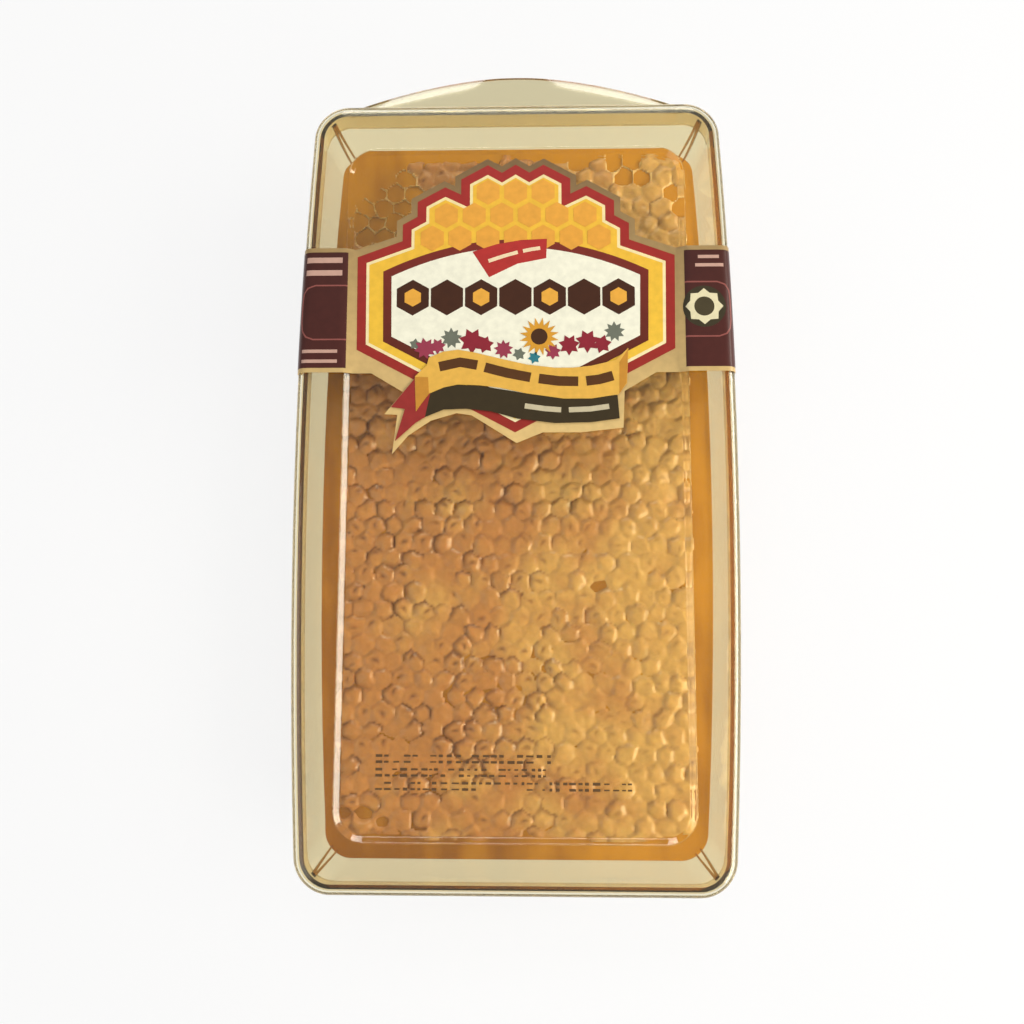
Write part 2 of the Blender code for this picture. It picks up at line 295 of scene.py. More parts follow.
def comb_material(settings):
    """Beeswax cappings, built by bees and wet with honey: soft sheen, pillowy, amber in the lines between. The
    wax is painted paler towards the right, where light falls, and the amber in the lines is partly painted shade.
    """
    material, tree = new_material("wet_beeswax_cappings")
    patches = place_noise(tree, 0.055, 3.0)
    # Painted light: the wax turns from soaked to pale towards the right, where light falls; the noise patches on
    # top of it are real soaked and dry wax.
    across = place_ramp(tree, "X", -45 * MM, 42 * MM)
    dry_patches_and_painted_light = combine(tree, "ADD", across,
        combine(tree, "MULTIPLY", combine(tree, "SUBTRACT", patches, 0.5), 2.2))
    soft = add_node(
        tree, "ShaderNodeMapRange", {"Value": dry_patches_and_painted_light, "From Min": 0.15, "From Max": 1.0},
        interpolation_type="SMOOTHSTEP"
    )
    wax = blend_colours(tree, soft.outputs["Result"], rgba(settings.soaked_wax), rgba(settings.pale_wax))
    fine = place_noise(tree, 0.6, 4.0)
    mottle = add_node(tree, "ShaderNodeMapRange",
        {"Value": fine, "From Min": 0.25, "From Max": 0.75, "To Min": 0.88, "To Max": 1.1})
    mottled = add_node(tree, "ShaderNodeHueSaturation", {"Value": mottle.outputs["Result"], "Color": wax})
    # Partly honey, partly painted shade: the crevice mask darkens the lines between caps, mostly on their far
    # sides, and the dents.
    line = add_node(tree, "ShaderNodeAttribute", attribute_name="crevice")
    lined_with_painted_shade = blend_colours(tree, line.outputs["Fac"], mottled.outputs["Color"], rgba(settings.crevice_honey_and_painted_shade))
    rim = add_node(tree, "ShaderNodeAttribute", attribute_name="cell_rim")
    final = blend_colours(tree, rim.outputs["Fac"], lined_with_painted_shade, rgba(shade("#E8C98C")))
    grain = add_node(
        tree, "ShaderNodeBump", {"Height": place_noise(tree, 0.9, 3.0), "Strength": 0.35,
            "Distance": 0.25 * MM}
    )
    body = add_node(
        tree,
        "ShaderNodeBsdfPrincipled",
        {
            "Base Color": final,
            "Roughness": 0.38,
            "IOR": 1.44,
            "Subsurface Weight": 0.25,
            "Subsurface Radius": (1.0, 0.55, 0.2),
            "Subsurface Scale": 1.2 * MM,
            "Coat Weight": 0.7,
            "Coat Roughness": 0.14,
            "Coat IOR": 1.49,
            "Normal": grain.outputs["Normal"],
        },
    )
    finish_material(tree, body.outputs[0])
    return material


def honey_material(settings):
    """Liquid honey, poured and settled: very smooth, amber, with painted shade and light: deeper in colour on the
    shaded left, brighter towards the right and the far end, where light comes through.
    """
    material, tree = new_material("liquid_honey")
    swirl = place_noise(tree, 0.11, 3.0, (1.0, 0.25, 1.0))
    # Painted light and shade: the colour runs from deep on the left to bright on the right and is lifted towards
    # the far end; the swirl noise is the honey's own streaks.
    across = place_ramp(tree, "X", -50 * MM, 60 * MM)
    far = combine(tree, "MULTIPLY", place_ramp(tree, "Y", 40 * MM, 95 * MM), 0.75)
    amount = combine(tree, "MULTIPLY_ADD", combine(tree, "SUBTRACT", swirl, 0.5), 2.2,
        combine(tree, "ADD", across, far))
    colour = blend_colours(tree, amount, rgba(settings.deep), rgba(settings.bright))
    ripple = add_node(
        tree, "ShaderNodeBump", {"Height": place_noise(tree, 0.12, 1.0), "Strength": 0.25,
            "Distance": 0.5 * MM}
    )
    body = add_node(
        tree,
        "ShaderNodeBsdfPrincipled",
        {
            "Base Color": colour,
            "Roughness": 0.07,
            "IOR": 1.49,
            "Normal": ripple.outputs["Normal"],
        },
    )
    finish_material(tree, body.outputs[0])
    return material


def ink_material(name, near, far, roughness=0.34, metallic=0.0):
    """Offset ink on coated label paper: satin, faintly mottled, with a colour that shifts along the label."""
    material, tree = new_material(name)
    along = place_ramp(tree, "Y", 12 * MM, 86 * MM)
    colour = blend_colours(tree, along, rgba(near), rgba(far))
    mottle = add_node(
        tree, "ShaderNodeMapRange",
        {"Value": place_noise(tree, 0.5, 4.0), "From Min": 0.3, "From Max": 0.7, "To Min": 0.93,
            "To Max": 1.06},
    )
    mottled = add_node(tree, "ShaderNodeHueSaturation", {"Value": mottle.outputs["Result"], "Color": colour})
    tooth = add_node(
        tree, "ShaderNodeBump", {"Height": place_noise(tree, 1.6, 2.0), "Strength": 0.12,
            "Distance": 0.05 * MM}
    )
    body = add_node(
        tree,
        "ShaderNodeBsdfPrincipled",
        {
            "Base Color": mottled.outputs["Color"],
            "Roughness": roughness,
            "Metallic": metallic,
            "Normal": tooth.outputs["Normal"],
        },
    )
    finish_material(tree, body.outputs[0])
    return material


def deselect_all():
    """Nothing is selected, so that an operator acts only on what comes next."""
    if bpy.context.object and bpy.context.object.mode != "OBJECT":
        bpy.ops.object.mode_set(mode="OBJECT")
    bpy.ops.object.select_all(action="DESELECT")


def settle(thing, name, material, slot, *replaced):
    """Names a finished piece, gives it its material, hangs it under the root body and hides the parts that it
    replaces.
    """
    if thing is None or not thing.data.polygons:
        raise RuntimeError(f"{name} has no shape")
    thing.name = name
    thing.data.name = name
    thing.data.materials.clear()
    thing.data.materials.append(material)
    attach(thing, "root")
    if replaced:
        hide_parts(*replaced)
    return thing


def ring(side_inset, end_inset, corner, z, bow=BOW):
    """The box's outline moved in from its sides and ends, anticlockwise from the right side."""
    half_x = END_WIDTH / 2 - side_inset
    half_y = LENGTH / 2 - end_inset
    plan = []
    for quarter, (side, end) in enumerate(((1, 1), (-1, 1), (-1, -1), (1, -1))):
        for step in range(CORNER_STEPS + 1):
            angle = math.radians(90 * (quarter + step / CORNER_STEPS))
            plan.append(
                (side * (half_x - corner) + corner * math.cos(angle),
                    end * (half_y - corner) + corner * math.sin(angle))
            )
        if side == -1 and end == 1 or side == 1 and end == -1:
            for step in range(1, SIDE_STEPS):
                plan.append((side * half_x, end * (half_y - corner) * (1 - 2 * step / SIDE_STEPS)))
    return [Vector((x + math.copysign(bow * (1 - (y / half_y) ** 2), x), y, z)) for x, y in plan]


def grow_shell(rings, closed):
    """A skin that starts as a filled circle and is extruded from ring to ring."""
    deselect_all()
    bpy.ops.mesh.primitive_circle_add(vertices=len(rings[0]), radius=LENGTH / 2, fill_type="NGON")
    thing = bpy.context.object
    bpy.ops.object.mode_set(mode="EDIT")
    bpy.ops.mesh.select_mode(type="EDGE")
    shape = bmesh.from_edit_mesh(thing.data)
    shape.verts.ensure_lookup_table()
    for vert, point in zip(shape.verts, rings[0]):
        vert.co = point
    before = {tuple(round(part, 7) for part in vert.co): index for index, vert in enumerate(shape.verts)}
    bmesh.update_edit_mesh(thing.data)
    for points in rings[1:]:
        bpy.ops.mesh.extrude_edges_move()
        shape = bmesh.from_edit_mesh(thing.data)
        after = {}
        for vert in shape.verts:
            if vert.select:
                index = before[tuple(round(part, 7) for part in vert.co)]
                vert.co = points[index]
                after[tuple(round(part, 7) for part in vert.co)] = index
        before = after
        bmesh.update_edit_mesh(thing.data)
    if closed:
        bpy.ops.mesh.edge_face_add()
    bpy.ops.mesh.select_all(action="SELECT")
    bpy.ops.mesh.normals_make_consistent(inside=False)
    bpy.ops.object.mode_set(mode="OBJECT")
    return thing


def apply_modifier(thing, kind, **settings):
    """Adds one modifier and applies it."""
    modifier = thing.modifiers.new(kind.title(), kind)
    for name, value in settings.items():
        setattr(modifier, name, value)
    bpy.context.view_layer.objects.active = thing
    bpy.ops.object.modifier_apply(modifier=modifier.name)


def smooth(thing, degrees=35):
    """Smooth shading, broken at sharp edges."""
    deselect_all()
    thing.select_set(True)
    bpy.context.view_layer.objects.active = thing
    bpy.ops.object.shade_smooth_by_angle(angle=math.radians(degrees))


def tray_inset(z, column, extra=0.0):
    """How far in from the box's outline the tray's outer wall is at a height."""
    heights = [row[3] for row in TRAY_PROFILE]
    return float(np.interp(z, heights, [row[column] for row in TRAY_PROFILE])) + extra


def tray_ring(z, extra=0.0):
    """The tray's outline at a height, moved in by some more."""
    return ring(tray_inset(z, 0, extra), tray_inset(z, 1, extra),
        max(tray_inset(z, 2) - extra * 0.6, 1 * MM), z)


class HONEYBOX_OT_tray(bpy.types.Operator):
    """Build the clear tray with its rim and its folded corners"""

    bl_idname = "honeybox.tray"
    bl_label = "Tray"

    def execute(self, context):
        settings = context.scene.honeybox_plastic
        tray = grow_shell([ring(*row) for row in TRAY_PROFILE], closed=False)
        apply_modifier(tray, "SOLIDIFY", thickness=TRAY_WALL, offset=-1, use_even_offset=True)
        smooth(tray)
        plastic = clear_plastic_material("clear_polystyrene_tray", settings.tint, 0.02)
        # Painted shade: the tray's rim faces and the corner ribs get a brown tint for the dark lines that light
        # makes in the clear wall there.
        edge = clear_plastic_material("clear_polystyrene_rim_painted_shade", settings.rim_tint_painted_shade, 0.25)
        settle(tray, "tray_shell", plastic, "clear_plastic", "tray")
        tray.data.materials.append(edge)
        for face in tray.data.polygons:
            if face.center.z > TRAY_TOP - 0.4 * MM and abs(face.normal.z) > 0.7:
                face.material_index = 1
        folds = corner_folds()
        settle(folds, "corner_folds", edge, "clear_plastic")
        return {"FINISHED"}


def corner_folds():
    """Two narrow ribs down the inside of each corner, where the wall is folded."""
    deselect_all()
    made = []
    top = TRAY_TOP - 0.5 * MM
    foot = HONEY_HIGH.z - 0.5 * MM
    rows = [top + (foot - top) * step / 6 for step in range(7)]
    for quarter in range(4):
        for turn in (-2.2, 2.2):
            bpy.ops.mesh.primitive_cube_add(size=1)
            rib = bpy.context.object
            bpy.ops.object.mode_set(mode="EDIT")
            bpy.ops.mesh.subdivide(number_cuts=5)
            bpy.ops.object.mode_set(mode="OBJECT")
            for vert in rib.data.vertices:
                fall = 0.5 - vert.co.z
                z = rows[0] + (rows[-1] - rows[0]) * fall
                width = (0.75 - 0.3 * fall) * MM
                outline = tray_ring(z, TRAY_WALL)
                per_quarter = [0, CORNER_STEPS + 1, 2 * CORNER_STEPS + 1 + SIDE_STEPS,
                    3 * CORNER_STEPS + 2 + SIDE_STEPS]
                middle = outline[per_quarter[quarter] + CORNER_STEPS // 2]
                outward = Vector((math.copysign(1, middle.x), math.copysign(1, middle.y), 0)).normalized()
                along = Vector((-outward.y, outward.x, 0))
                spread = turn / 2.2 * (0.3 + 0.75 * fall) * MM
                vert.co = middle + along * (spread + vert.co.x * width) + outward * ((vert.co.y - 0.2) * 0.6 * MM)
            made.append(rib)
    deselect_all()
    for rib in made:
        rib.select_set(True)
    bpy.context.view_layer.objects.active = made[0]
    bpy.ops.object.join()
    folds = bpy.context.object
    bpy.ops.object.mode_set(mode="EDIT")
    bpy.ops.mesh.select_all(action="SELECT")
    bpy.ops.mesh.normals_make_consistent(inside=False)
    bpy.ops.object.mode_set(mode="OBJECT")
    smooth(folds)
    return folds


def panel_ring(grow, z):
    """The outline of the lid's sunk panel, whose sides are straight, made wider by grow."""
    side_inset = END_WIDTH / 2 - PANEL_HALF_WIDTH - grow
    return ring(side_inset, PANEL_END_INSET - grow, PANEL_CORNER + grow, z, bow=0)


class HONEYBOX_OT_lid(bpy.types.Operator):
    """Build the clear lid with its sunk panel, its skirt and its lift tab"""

    bl_idname = "honeybox.lid"
    bl_label = "Lid"

    def execute(self, context):
        settings = context.scene.honeybox_plastic
        run = settings.panel_step
        drop = HEIGHT - PANEL_TOP
        rings = [panel_ring(-0.5 * MM, PANEL_TOP)]
        for part, ease in ((0.0, 0.0), (0.1, 0.05), (0.2, 0.16), (0.8, 0.84), (0.9, 0.95), (1.0, 1.0)):
            rings.append(panel_ring(run * part, PANEL_TOP + drop * ease))
        rings += [ring(inset, inset, corner, z) for inset, corner, z in LID_ROUNDING]
        lid = grow_shell(rings, closed=False)
        apply_modifier(lid, "SOLIDIFY", thickness=LID_WALL, offset=-1, use_even_offset=True)
        smooth(lid)
        plastic = clear_plastic_material("clear_polystyrene_lid", settings.tint, 0.02)
        skirt = clear_plastic_material("clear_polystyrene_skirt", shade("#EADBB4"), 0.1, 0.85)
        settle(lid, "lid_shell", plastic, "clear_plastic", "lid")
        lid.data.materials.append(skirt)
        for face in lid.data.polygons:
            if face.center.z < PANEL_TOP - 1.5 * MM:
                face.material_index = 1
        tab_plastic = clear_plastic_material("clear_polystyrene_tab", shade("#D6CCA8"), 0.05)
        settle(lift_tab(), "lift_tab", tab_plastic, "clear_plastic")
        return {"FINISHED"}


def lift_tab():
    """The clear arc past the far end, with its middle facet held level and its two sides folded down."""
    deselect_all()
    steps = 40
    half_width = 46 * MM
    reach = cad_high[1] - LENGTH / 2
    thickness = 1.2 * MM
    top = 36 * MM
    root = LENGTH / 2 + 0.02 * MM
    bpy.ops.mesh.primitive_grid_add(x_subdivisions=steps, y_subdivisions=4, size=2)
    tab = bpy.context.object
    for vert in tab.data.vertices:
        across = vert.co.x
        out = (vert.co.y + 1) / 2
        edge = reach * (1 - across * across) * (1 - 0.06 * across * across)
        x, y = half_width * across, root + max(edge, 0.25 * MM) * out
        crease = 15.3 * MM + (5.2 - 15.3) * MM * (y - LENGTH / 2) / reach
        past = max(abs(x) - crease, 0) * 0.65
        vert.co = (x, y, top - 0.085 * past - 0.25 * MM * out * out)
    apply_modifier(tab, "SOLIDIFY", thickness=thickness, offset=-1)
    apply_modifier(tab, "BEVEL", width=0.2 * MM, segments=2, limit_method="ANGLE",
        angle_limit=math.radians(50))
    smooth(tab, 4)
    return tab


def soft_noise(x, y, size, seed):
    """Smooth noise from -1 to 1 on a plane, with features of about the given size."""
    values = np.random.default_rng(seed).uniform(-1, 1, (96, 96))
    column, row = x / size + 48, y / size + 48
    left, low = np.floor(column).astype(int) % 95, np.floor(row).astype(int) % 95
    across, up = column - np.floor(column), row - np.floor(row)
    across, up = across * across * (3 - 2 * across), up * up * (3 - 2 * up)
    near = values[low, left] * (1 - across) + values[low, left + 1] * across
    far = values[low + 1, left] * (1 - across) + values[low + 1, left + 1] * across
    return near * (1 - up) + far * up


def comb_cells(pitch):
    """The middles of the comb's cells, which stray a little from an even lattice, in rows along X."""
    row_pitch = pitch * math.sqrt(3) / 2
    dice = np.random.default_rng(11)
    middles = []
    for row in range(-2, int((COMB_HIGH.y - COMB_LOW.y) / row_pitch) + 3):
        for column in range(-2, int((COMB_HIGH.x - COMB_LOW.x) / pitch) + 3):
            middles.append((COMB_LOW.x + pitch * (column + 0.5 * (row % 2)), COMB_LOW.y + row_pitch * row))
    middles = np.array(middles)
    bend_x = soft_noise(middles[:, 0], middles[:, 1], 30 * MM, 3) * 1.3 * MM
    bend_y = soft_noise(middles[:, 0], middles[:, 1], 34 * MM, 4) * 1.3 * MM
    middles[:, 0] += bend_x + dice.normal(0, 0.28 * MM, len(middles))
    middles[:, 1] += bend_y + dice.normal(0, 0.28 * MM, len(middles))
    return middles, dice


# Where cells stand open under the honey: the middle of each patch and its radius, in mm.
OPEN_PATCHES = ((-37.5, 83.0, 12.5), (31.0, 94.0, 6.5), (17.0, 95.0, 4.0), (46.0, 84.0, 3.4))
# Single cells that stand open near the near left corner: middle and radius, in mm.
OPEN_HOLES = ((-40.3, -86.6, 1.9), (-35.3, -88.6, 1.2), (-45.6, -86.4, 1.6))


def comb_surface(x, y, settings):
    """Height, crevice and distance to the border at each point of the comb's face, and its cell's middle."""
    pitch = settings.cell_pitch
    middles, dice = comb_cells(pitch)
    count = len(middles)
    lean = dice.normal(0, 0.06, (count, 2)) + (0.015, 0.06)
    lift = dice.normal(0, 0.12 * MM, count)
    swell = dice.uniform(0.45, 1.3, count)
    facing = dice.normal(math.pi / 2, 0.9, count)
    depth = np.clip(dice.uniform(-0.45, 1.3, count), 0, 1)
    dimple = dice.uniform(0, 1, count) < 0.42
    dimple_turn = dice.normal(0.2, 0.7, count)
    dimple_shift = dice.normal(0, 0.55 * MM, (count, 2)) + (0, 0.5 * MM)
    warped_x = x + 0.55 * MM * soft_noise(x, y, 3.6 * MM, 31) + 0.25 * MM * soft_noise(x, y, 1.7 * MM, 33)
    warped_y = y + 0.55 * MM * soft_noise(x, y, 3.6 * MM, 32) + 0.25 * MM * soft_noise(x, y, 1.7 * MM, 34)
    nearest = np.empty(len(x), int)
    distance = np.empty((len(x), 2))
    for start in range(0, len(x), 4000):
        part = slice(start, start + 4000)
        gaps = np.hypot(warped_x[part, None] - middles[:, 0], warped_y[part, None] - middles[:, 1])
        order = np.argpartition(gaps, 2, axis=1)[:, :3]
        close = np.take_along_axis(gaps, order, axis=1)
        rank = np.argsort(close, axis=1)[:, :2]
        nearest[part] = np.take_along_axis(order, rank, axis=1)[:, 0]
        distance[part] = np.take_along_axis(close, rank, axis=1)
    to_border = (distance[:, 1] - distance[:, 0]) / 2
    across, along = warped_x - middles[nearest, 0], warped_y - middles[nearest, 1]
    bearing = np.arctan2(along, across)
    # A cap stands clear of its neighbours on one side, mostly the far one, and runs into them on the other.
    clear_side = 0.5 + 0.5 * np.cos(bearing - facing[nearest])
    free = depth[nearest] * np.clip(clear_side * 1.5 - 0.25, 0, 1)
    dome = 1 - (1 - np.clip(to_border / (0.42 * pitch), 0, 1)) ** 2.4
    trough = np.exp(-((to_border / (0.68 * MM)) ** 2))
    height = settings.cap_rise * dome * swell[nearest] * (0.35 + 0.65 * depth[nearest])
    height += across * lean[nearest, 0] + along * lean[nearest, 1] + lift[nearest] * np.clip(dome * 2, 0, 1)
    # The cappings on the right lie smoother, with their lines nearly closed.
    calm = 1 - 0.6 * np.clip((x + 8 * MM) / (36 * MM), 0, 1)
    free = free * calm
    height -= settings.crevice * trough * (0.08 + 0.92 * free)
    # Some caps have sagged in a short curved dent.
    dent_x, dent_y = across - dimple_shift[nearest, 0], along - dimple_shift[nearest, 1]
    turn = dimple_turn[nearest]
    long_way = dent_x * np.cos(turn) + dent_y * np.sin(turn)
    short_way = dent_y * np.cos(turn) - dent_x * np.sin(turn) + 0.22 / MM * long_way**2
    dent = np.exp(-((long_way / (1.0 * MM)) ** 2) - (short_way / (0.42 * MM)) ** 2) * dimple[nearest]
    dent = dent * calm
    height -= 0.5 * MM * dent
    height += 0.3 * MM * soft_noise(x, y, 26 * MM, 7) + 0.22 * MM * soft_noise(x, y, 5.5 * MM, 12)
    height += 0.13 * MM * soft_noise(x, y, 1.5 * MM, 8) + 0.16 * MM * soft_noise(x, y, 2.4 * MM, 13)
    # The crevice mask is partly honey in the lines and partly painted shade: it darkens the troughs where a cap
    # stands clear, mostly on its far side, and the dents.
    crevice = np.clip(trough * free * 1.1 + 0.95 * dent, 0, 1)
    return height, crevice, to_border, middles[nearest]


def comb_edge(x, y):
    """How far inside the comb's ragged outline a point is."""
    centre_x, centre_y = (COMB_LOW.x + COMB_HIGH.x) / 2, (COMB_LOW.y + COMB_HIGH.y) / 2
    half_x, half_y = (COMB_HIGH.x - COMB_LOW.x) / 2, (COMB_HIGH.y - COMB_LOW.y) / 2
    corner = 5 * MM
    past_x = np.abs(x - centre_x) - (half_x - corner)
    past_y = np.abs(y - centre_y) - (half_y - corner)
    outside = np.hypot(np.clip(past_x, 0, None),
        np.clip(past_y, 0, None)) + np.minimum(np.maximum(past_x, past_y), 0)
    inside = corner - outside
    cut = (128 * MM - (y - x)) / math.sqrt(2)
    ragged = 1.3 * MM * soft_noise(x, y, 9 * MM, 21) + 1.1 * MM * soft_noise(x, y, 3 * MM, 22)
    return np.minimum(inside, cut) - 0.3 * MM + ragged


class HONEYBOX_OT_comb(bpy.types.Operator):
    """Build the piece of comb, with a wax cap on nearly every cell"""

    bl_idname = "honeybox.comb"
    bl_label = "Comb"

    def execute(self, context):
        settings = context.scene.honeybox_comb
        level = HONEY_HIGH.z
        width, depth = COMB_HIGH.x - COMB_LOW.x, COMB_HIGH.y - COMB_LOW.y
        columns, rows = round(width / settings.step), round(depth / settings.step)
        deselect_all()
        bpy.ops.mesh.primitive_grid_add(x_subdivisions=columns, y_subdivisions=rows, size=1)
        comb = bpy.context.object
        count = len(comb.data.vertices)
        places = np.empty(count * 3)
        comb.data.vertices.foreach_get("co", places)
        places = places.reshape(-1, 3)
        x = COMB_LOW.x + (places[:, 0] + 0.5) * width
        y = COMB_LOW.y + (places[:, 1] + 0.5) * depth
        height, crevice, to_border, middle = comb_surface(x, y, settings)
        inside = comb_edge(x, y)
        open_cell = np.zeros(count)
        for patch_x, patch_y, reach in OPEN_PATCHES:
            apart = np.hypot(middle[:, 0] - patch_x * MM, middle[:, 1] - patch_y * MM)
            open_cell = np.maximum(open_cell, apart < reach * MM)
        wall = np.exp(-((to_border / (0.42 * MM)) ** 2))
        capped = level + 0.6 * MM + height
        opened = level - 1.6 * MM + 2.25 * MM * wall + 0.25 * MM * soft_noise(x, y, 6 * MM, 9)
        z = np.where(open_cell > 0.5, opened, capped)
        z -= np.where(open_cell > 0.5, 0.2, 1.2) * MM * np.exp(-np.clip(inside, 0, None) / (0.8 * MM))
        for hole_x, hole_y, reach in OPEN_HOLES:
            apart = np.hypot((x - hole_x * MM) / 1.25, y - hole_y * MM)
            z -= 1.9 * MM * np.exp(-((apart / (reach * MM)) ** 4))
        z = np.where(inside < 0, level - 1.2 * MM + np.clip(inside, -3 * MM, 0), z)
        places[:, 0], places[:, 1], places[:, 2] = x, y, z
        comb.data.vertices.foreach_set("co", places.ravel())
        rim = comb.data.attributes.new("cell_rim", "FLOAT", "POINT")
        # The crevice attribute carries honey colour and painted shade into the comb's material.
        line = comb.data.attributes.new("crevice", "FLOAT", "POINT")
        rim.data.foreach_set("value", (wall * (open_cell > 0.5) * 0.9).astype(np.float32))
        line.data.foreach_set("value", np.where(open_cell > 0.5, 0.0, crevice).astype(np.float32))
        bpy.ops.object.mode_set(mode="EDIT")
        bpy.ops.mesh.select_mode(type="EDGE")
        bpy.ops.mesh.select_all(action="SELECT")
        bpy.ops.mesh.region_to_loop()
        floor = COMB_LOW.z
        bpy.ops.mesh.extrude_edges_move(TRANSFORM_OT_translate={"value": (0, 0, floor - level)})
        bpy.ops.transform.resize(value=(0.95, 0.965, 0), center_override=(0, 0, floor))
        bpy.ops.mesh.edge_face_add()
        bpy.ops.mesh.select_all(action="SELECT")
        bpy.ops.mesh.normals_make_consistent(inside=False)
        bpy.ops.object.mode_set(mode="OBJECT")
        smooth(comb, 60)
        settle(comb, "comb", comb_material(settings), "beeswax", "honeycomb")
        return {"FINISHED"}


class HONEYBOX_OT_honey(bpy.types.Operator):
    """Build the liquid honey that fills the tray round the comb"""

    bl_idname = "honeybox.honey"
    bl_label = "Honey"

    def execute(self, context):
        settings = context.scene.honeybox_honey
        level = HONEY_HIGH.z
        into_wall = TRAY_WALL - 0.3 * MM
        rings = [tray_ring(0.9 * MM, into_wall + 2.0 * MM)]
        for z in (1.3 * MM, 2.2 * MM, 4.0 * MM, level + settings.meniscus):
            rings.append(tray_ring(z, into_wall))
        for run, rise in ((0.45, 0.8), (0.8, 0.5), (1.3, 0.25), (2.0, 0.08), (3.0, 0.0)):
            edge = tray_ring(level, into_wall + run * MM)
            rings.append([Vector((point.x, point.y, level + settings.meniscus * rise)) for point in edge])
        honey = grow_shell(rings, closed=True)
        smooth(honey, 50)
        settle(honey, "honey_pool", honey_material(settings), "honey", "honey")
        return {"FINISHED"}


# The label's badge, in mm. Each half outline runs from the middle of the crown to the right side.
RED_CROWN = (
    (0, 86.4), (3.7, 84.1), (7.5, 86.3), (14.7, 82.3), (14.7, 78.0), (19.0, 80.1), (26.4, 76.0),
    (26.4, 71.8), (30.3, 69.6), (30.3, 65.0), (42.3, 60.6), (42.0, 35.0), (0, 12.6),
)
GOLD_CROWN = (
    (0, 88.3), (3.7, 86.0), (7.6, 88.1), (16.3, 83.2), (16.3, 80.4), (19.2, 81.9), (28.1, 76.9),
    (28.1, 72.9), (31.9, 70.7), (31.9, 66.3), (42.5, 62.7),
)
GOLD_FOOT = (
    (-38.0, 28.6), (-29.5, 23.5), (-34.3, 17.6), (-30.9, 17.4), (-32.1, 7.0), (-28.0, 11.8), (-22.1, 15.8),
    (-15.3, 17.8), (-11.4, 17.2), (0.4, 9.8), (7.2, 12.6), (17.2, 12.6), (28.2, 13.8), (28.6, 23.6),
    (37.0, 28.6),
)
WING_NEAR, WING_FAR, WING_END = 28.6, 62.7, 66.2
# Down the wing: distance from the label's middle, in from the lid's side or out from its middle,
# height, slope.
WING_STATIONS = (
    (0.0, None, 0.0, PANEL_TOP + 0.06 * MM, 0),
    (43.0, None, 43.0, PANEL_TOP + 0.06 * MM, 0),
    (45.6, None, 45.3, HEIGHT + 0.02 * MM, -12),
    (47.0, None, 46.7, HEIGHT + 0.05 * MM, 0),
    (54.6, 3.0, None, HEIGHT + 0.05 * MM, 4),
    (55.8, 1.75, None, HEIGHT - 0.12 * MM, 18),
    (57.0, 0.8, None, HEIGHT - 0.70 * MM, 45),
    (58.2, 0.2, None, HEIGHT - 1.8 * MM, 70),
    (60.0, -0.04, None, HEIGHT - 3.8 * MM, 88),
    (66.2, -0.04, None, SKIRT_BOTTOM + 0.5 * MM, 90),
)


# Shapes of one layer of print rise by this much from one to the next, so that they can overlap.
OVERLAP_STEP = 0.004 * MM


def on_label(across, along, lift):
    """The point of the label's surface at a place on the flat sheet, raised by lift, all in mm and metres."""
    side = math.copysign(1, across)
    distance = abs(across)
    edge = (END_WIDTH / 2 + BOW * (1 - (2 * along * MM / LENGTH) ** 2)) / MM
    stops = [row[0] for row in WING_STATIONS]
    outs = [row[2] if row[1] is None else edge - row[1] for row in WING_STATIONS]
    x = float(np.interp(distance, stops, outs)) * MM
    z = float(np.interp(distance, stops, [row[3] for row in WING_STATIONS]))
    slope = math.radians(float(np.interp(distance, stops, [row[4] for row in WING_STATIONS])))
    return Vector((side * (x + lift * math.sin(slope)), along * MM, z + lift * math.cos(slope)))


def inset(outline, distance):
    """An outline given anticlockwise, moved inwards by a distance along its mitres."""
    moved = []
    count = len(outline)
    for index, (x, y) in enumerate(outline):
        before, after = Vector(outline[index - 1]), Vector(outline[(index + 1) % count])
        here = Vector((x, y))
        first = (here - before).normalized()
        second = (after - here).normalized()
        normal = Vector((-first.y - second.y, first.x + second.x))
        normal.normalize()
        reach = distance / max(normal.dot(Vector((-first.y, first.x))), 0.35)
        moved.append((x + normal.x * reach, y + normal.y * reach))
    return moved


def mirrored(half):
    """A whole anticlockwise outline from its right half, which runs from the middle down to the middle."""
    left = [(-x, y) for x, y in half if x > 0]
    return list(reversed(half)) + left


def stripe(points, width):
    """A band of one width along a line of points."""
    left, right = [], []
    for index, point in enumerate(points):
        before = Vector(points[max(index - 1, 0)])
        after = Vector(points[min(index + 1, len(points) - 1)])
        run = (after - before).normalized() * (width / 2)
        left.append((point[0] - run.y, point[1] + run.x))
        right.append((point[0] + run.y, point[1] - run.x))
    return right + left[::-1]


def star(x, y, outer, inner, points, turn=0.0):
    """A round shape with points, or a plain polygon when inner equals outer."""
    outline = []
    for step in range(points * 2):
        angle = math.radians(turn) + math.pi * step / points
        reach = outer if step % 2 == 0 else inner
        outline.append((x + reach * math.cos(angle), y + reach * math.sin(angle)))
    return outline


def disc(x, y, radius, sides=24):
    """A regular polygon, round when it has many sides."""
    turn = 90 if sides == 6 else 0
    return [
        (x + radius * math.cos(math.radians(turn + 360 * k / sides)),
            y + radius * math.sin(math.radians(turn + 360 * k / sides)))
        for k in range(sides)
    ]


def fine_outline(outline, longest):
    """An outline with points added so that no edge is longer than a length."""
    dense = []
    for index, start in enumerate(outline):
        end = outline[(index + 1) % len(outline)]
        steps = max(1, math.ceil(math.dist(start, end) / longest))
        for step in range(steps):
            part = step / steps
            dense.append((start[0] + (end[0] - start[0]) * part, start[1] + (end[1] - start[1]) * part))
    return dense


